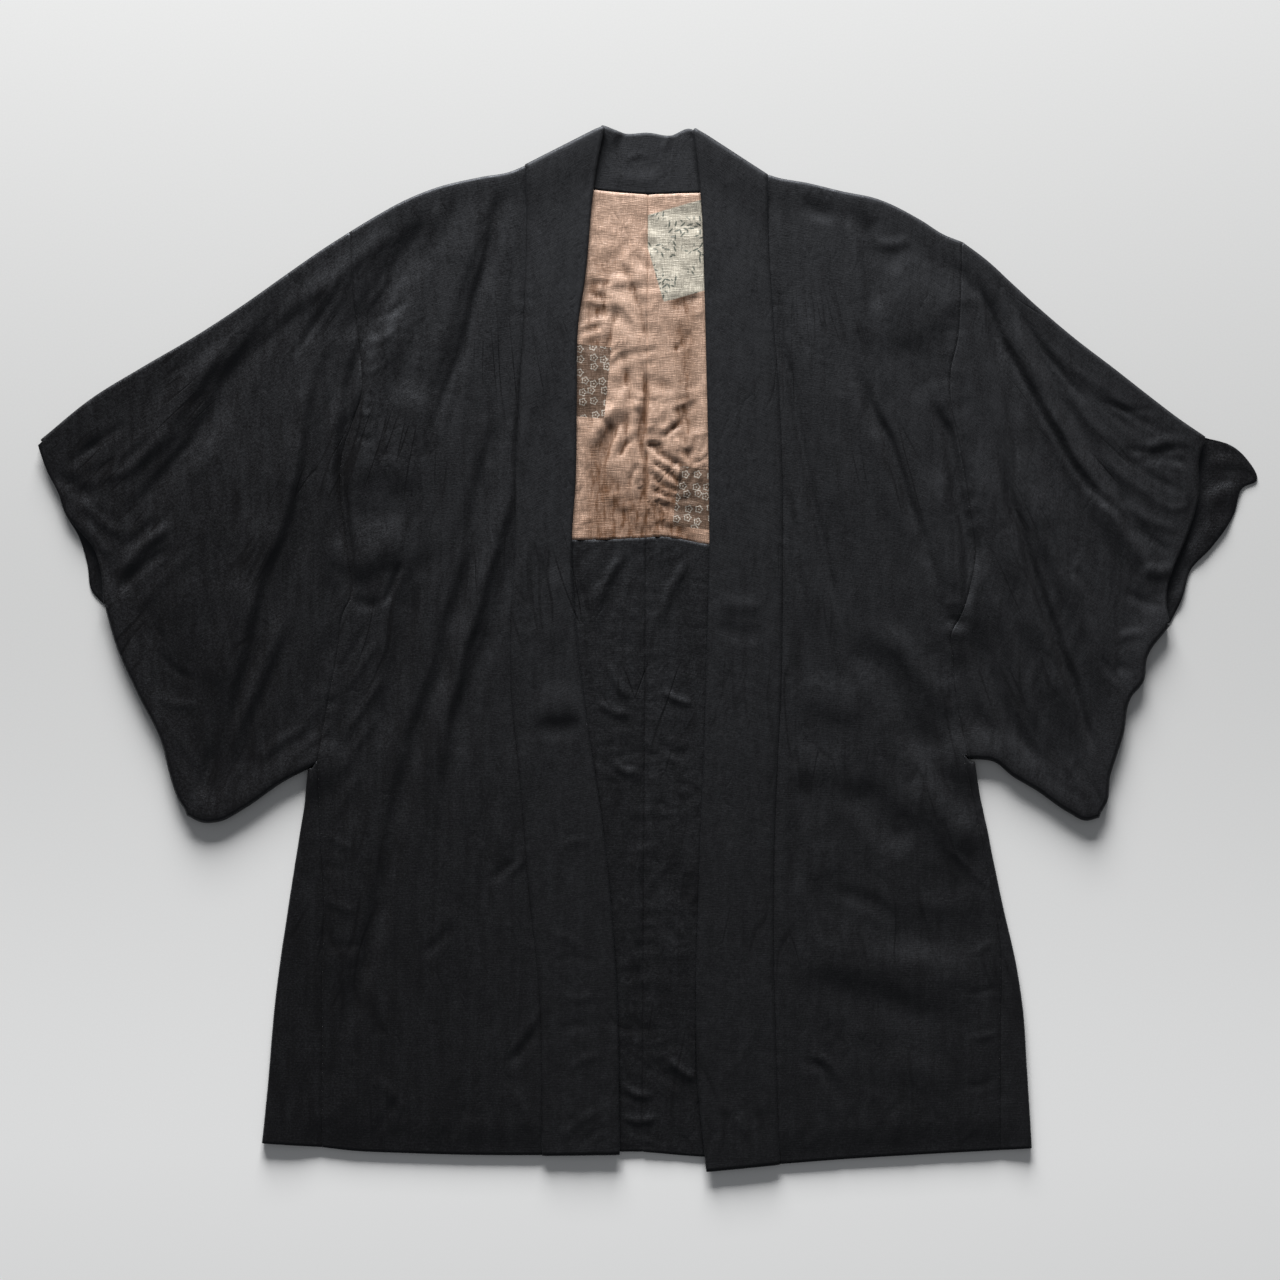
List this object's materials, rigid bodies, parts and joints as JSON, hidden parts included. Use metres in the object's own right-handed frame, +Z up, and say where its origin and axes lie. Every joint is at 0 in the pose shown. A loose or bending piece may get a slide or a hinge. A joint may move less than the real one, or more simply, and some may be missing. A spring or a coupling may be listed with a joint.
{
  "type": "haori jacket",
  "caption": "Open-fronted Japanese short coat of black crinkled silk with square sleeves, banded collar and side gussets, laid out flat face up",
  "frame": {"origin": "middle of the footprint, on the surface that the jacket lies on", "axes": "+X towards the sleeve on the right of the picture (the wearer's left), +Y from hem to collar, +Z up, out of the fronts"},
  "size_m": [1.2144, 1.0441, 0.0151],
  "materials": {
    "body_left": "matt crinkled silk crepe",
    "body_right": "matt crinkled silk crepe",
    "sleeve_left": "matt crinkled silk crepe",
    "sleeve_right": "matt crinkled silk crepe",
    "gusset_left": "matt crinkled silk crepe",
    "gusset_right": "matt crinkled silk crepe",
    "collar": "matt crinkled silk crepe, doubled",
    "lining_left": "soft beige silk with traditional prints",
    "lining_right": "soft beige silk with traditional prints",
    "facing_left": "matt crinkled silk crepe",
    "facing_right": "matt crinkled silk crepe"
  },
  "bodies": {
    "root": {"body_left": "body_left", "body_right": "body_right", "sleeve_left": "sleeve_left", "sleeve_right": "sleeve_right", "gusset_left": "gusset_left", "gusset_right": "gusset_right", "collar": "collar", "lining_left": "lining_left", "lining_right": "lining_right", "facing_left": "facing_left", "facing_right": "facing_right"}
  },
  "joints": []
}
